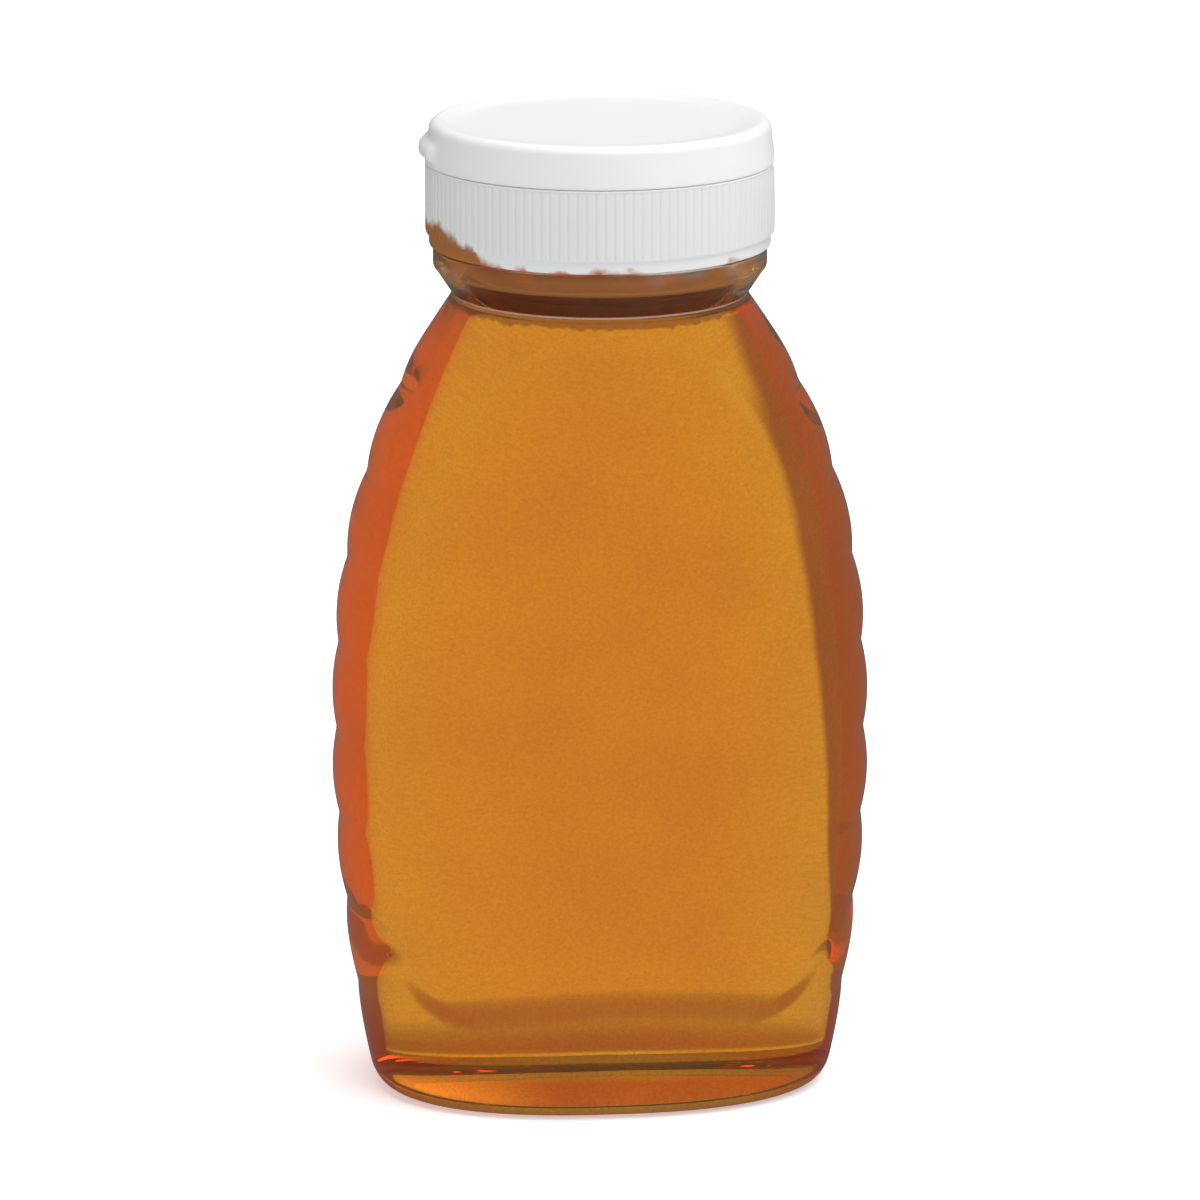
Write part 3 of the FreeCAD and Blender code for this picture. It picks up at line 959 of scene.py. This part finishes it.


# ---------------------------------------------------------------- studio
# A plain white table and surround, with one large soft lamp overhead, a little to the right and
# in front, and the room's own light all round. What clear honey bends into view is painted darker
# and warmer, for rays through the honey only: a painted amber shadow and glow on the table under
# the bottle, which only amber light reaches, a painted contact shadow and painted side shading
# close round it, a painted dark patch at the room's far left, and a painted warm tint on the room.
ROOM_LIGHT = 0.45
ROOM_IN_GLOSS = 0.13
SEEN_THROUGH = 0.75
ROOM_THROUGH = 0.38
# painted contact shadow on the table close round the bottle, seen only by rays through the honey
SHADED = 0.5
# painted side shading: in front of the bottle the table is darker towards -X and lighter towards +X,
# seen only by rays through the honey
SIDE_SHADES = (0.62, 1.2)
# painted amber shadow under the bottle and its back half, and a painted amber glow to its left, seen
# only by rays through the honey
PAINTED_AMBER_SHADOW = (0.5, 0.12, 0.02, 1.0)
PAINTED_AMBER_SHADOW_BACK = (0.47, 0.24, 0.04, 1.0)
PAINTED_AMBER_GLOW = (1.35, 0.5, 0.07, 1.0)
# painted dark patch on the table more than 6 cm to the -X side, seen only by rays through the honey
PAINTED_DARK_FAR_LEFT = (0.34, 0.15, 0.3, 1.0)
# painted warm tint on the room, seen only by rays through the honey
PAINTED_ROOM_TINT = (1.0, 0.66, 0.36, 1.0)
FLOOR_GLOW = 0.4
LAMP_PLACE = Vector((0.38, -0.26, 1.46))
LAMP_AIM = Vector((0.0, 0.0, 0.06))
LAMP_SIZE = 1.6
LAMP_POWER = 26.5


def ray_strength(nodes, links, rest, steps):
    """a number that is rest for most rays, and another for each kind of ray in steps"""
    rays = nodes.new("ShaderNodeLightPath")
    value = None
    for kind, strength in steps:
        mix = nodes.new("ShaderNodeMix")
        mix.data_type = "FLOAT"
        mix.inputs["A"].default_value = rest
        mix.inputs["B"].default_value = strength
        links.new(rays.outputs[kind], mix.inputs["Factor"])
        if value is not None:
            links.new(value, mix.inputs["A"])
        value = mix.outputs["Result"]
    return value


def floor_material():
    """white to the camera; to rays through the honey, painted shade and light for what honey lets by:
    amber shadow and glow under the bottle, contact shadow and side shading round it, a dark patch far
    to -X
    """
    material = bpy.data.materials.new("floor")
    material.use_nodes = True
    nodes, links = material.node_tree.nodes, material.node_tree.links
    shader = nodes["Principled BSDF"]
    shader.inputs["Base Color"].default_value = (0.9, 0.9, 0.9, 1.0)
    shader.inputs["Roughness"].default_value = 0.9
    shader.inputs["Specular IOR Level"].default_value = 0.0
    shader.inputs["Emission Color"].default_value = (1.0, 1.0, 1.0, 1.0)
    glow = ray_strength(nodes, links, 0.0, (("Is Camera Ray", FLOOR_GLOW),))
    links.new(glow, shader.inputs["Emission Strength"])
    place = nodes.new("ShaderNodeTexCoord")
    fit = nodes.new("ShaderNodeMapping")
    fit.inputs["Scale"].default_value = (2000.0 / BASE_WIDTH, 2000.0 / BASE_DEPTH, 0.0)
    reach = nodes.new("ShaderNodeVectorMath")
    reach.operation = "LENGTH"
    split = nodes.new("ShaderNodeSeparateXYZ")
    links.new(place.outputs["Object"], fit.inputs["Vector"])
    links.new(fit.outputs["Vector"], reach.inputs[0])
    links.new(fit.outputs["Vector"], split.inputs["Vector"])
    # painted side shading, in front of the bottle only
    side = add_ramp(nodes, links, split.outputs["X"], -3.0, 3.0, *SIDE_SHADES)
    ahead = add_ramp(nodes, links, split.outputs["Y"], -0.2, -2.5, 0.0, 1.0)
    slant = set_math(nodes, "SUBTRACT", None, 1.0)
    links.new(side, slant.inputs[0])
    share = set_math(nodes, "MULTIPLY_ADD", None, None, 1.0)
    links.new(slant.outputs["Value"], share.inputs[0])
    links.new(ahead, share.inputs[1])
    # painted amber shadow under the bottle, with a painted amber glow towards its -X side
    under = add_mix(nodes, links, add_ramp(nodes, links, split.outputs["Y"], 0.3, 0.9, 0, 1),
                    PAINTED_AMBER_SHADOW, PAINTED_AMBER_SHADOW_BACK)
    under = add_mix(nodes, links, add_ramp(nodes, links, split.outputs["X"], -0.8, -0.15, 0, 1),
                    PAINTED_AMBER_GLOW, under)
    # painted contact shadow: darker close round the bottle
    shade = add_ramp(nodes, links, reach.outputs["Value"], 1.9, 2.7, SHADED, SEEN_THROUGH)
    lit = set_math(nodes, "MULTIPLY")
    links.new(shade, lit.inputs[0])
    links.new(share.outputs["Value"], lit.inputs[1])
    grey = nodes.new("ShaderNodeCombineColor")
    for channel in ("Red", "Green", "Blue"):
        links.new(lit.outputs["Value"], grey.inputs[channel])
    seen = add_mix(nodes, links, add_ramp(nodes, links, reach.outputs["Value"], 1.4, 2.6, 0, 1),
                   under, grey.outputs["Color"])
    metres = nodes.new("ShaderNodeSeparateXYZ")
    links.new(place.outputs["Object"], metres.inputs["Vector"])
    # painted dark patch far to the -X side, except in front of the bottle
    behind = set_math(nodes, "SUBTRACT", 1.0)
    links.new(ahead, behind.inputs[1])
    painted_dark_share = set_math(nodes, "MULTIPLY")
    links.new(add_ramp(nodes, links, metres.outputs["X"], -0.058, -0.068, 0.0, 1.0),
              painted_dark_share.inputs[0])
    links.new(behind.outputs["Value"], painted_dark_share.inputs[1])
    seen = add_mix(nodes, links, painted_dark_share.outputs["Value"], seen, PAINTED_DARK_FAR_LEFT)
    through = nodes.new("ShaderNodeEmission")
    links.new(seen, through.inputs["Color"])
    mirrored = nodes.new("ShaderNodeEmission")
    mirrored.inputs["Strength"].default_value = ROOM_IN_GLOSS
    rays = nodes.new("ShaderNodeLightPath")
    last = shader.outputs["BSDF"]
    for kind, other in (("Is Glossy Ray", mirrored), ("Is Transmission Ray", through)):
        either = nodes.new("ShaderNodeMixShader")
        links.new(rays.outputs[kind], either.inputs["Fac"])
        links.new(last, either.inputs[1])
        links.new(other.outputs["Emission"], either.inputs[2])
        last = either.outputs["Shader"]
    links.new(last, nodes["Material Output"].inputs["Surface"])
    return material


bpy.ops.mesh.primitive_plane_add(size=12.0)
floor = bpy.context.object
floor.name = "floor"
floor.data.materials.append(floor_material())

world = bpy.data.worlds.new("studio")
scene.world = world
world.use_nodes = True
world_nodes, world_links = world.node_tree.nodes, world.node_tree.links
room = world_nodes["Background"]
path = world_nodes.new("ShaderNodeLightPath")
# the room's colour: white, with a painted warm tint for rays through the honey
world_links.new(add_mix(world_nodes, world_links, path.outputs["Is Transmission Ray"],
                        (1.0, 1.0, 1.0, 1.0), PAINTED_ROOM_TINT), room.inputs["Color"])
world_links.new(ray_strength(world_nodes, world_links, ROOM_LIGHT,
                             (("Is Glossy Ray", ROOM_IN_GLOSS),
                              ("Is Transmission Ray", ROOM_THROUGH), ("Is Camera Ray", 1.0))),
                room.inputs["Strength"])

lamp_light = bpy.data.lights.new("key", "AREA")
lamp_light.energy = LAMP_POWER
lamp_light.size = LAMP_SIZE
lamp = bpy.data.objects.new("key", lamp_light)
lamp.location = LAMP_PLACE
lamp.rotation_euler = (LAMP_AIM - LAMP_PLACE).to_track_quat("-Z", "Y").to_euler()
scene.collection.objects.link(lamp)
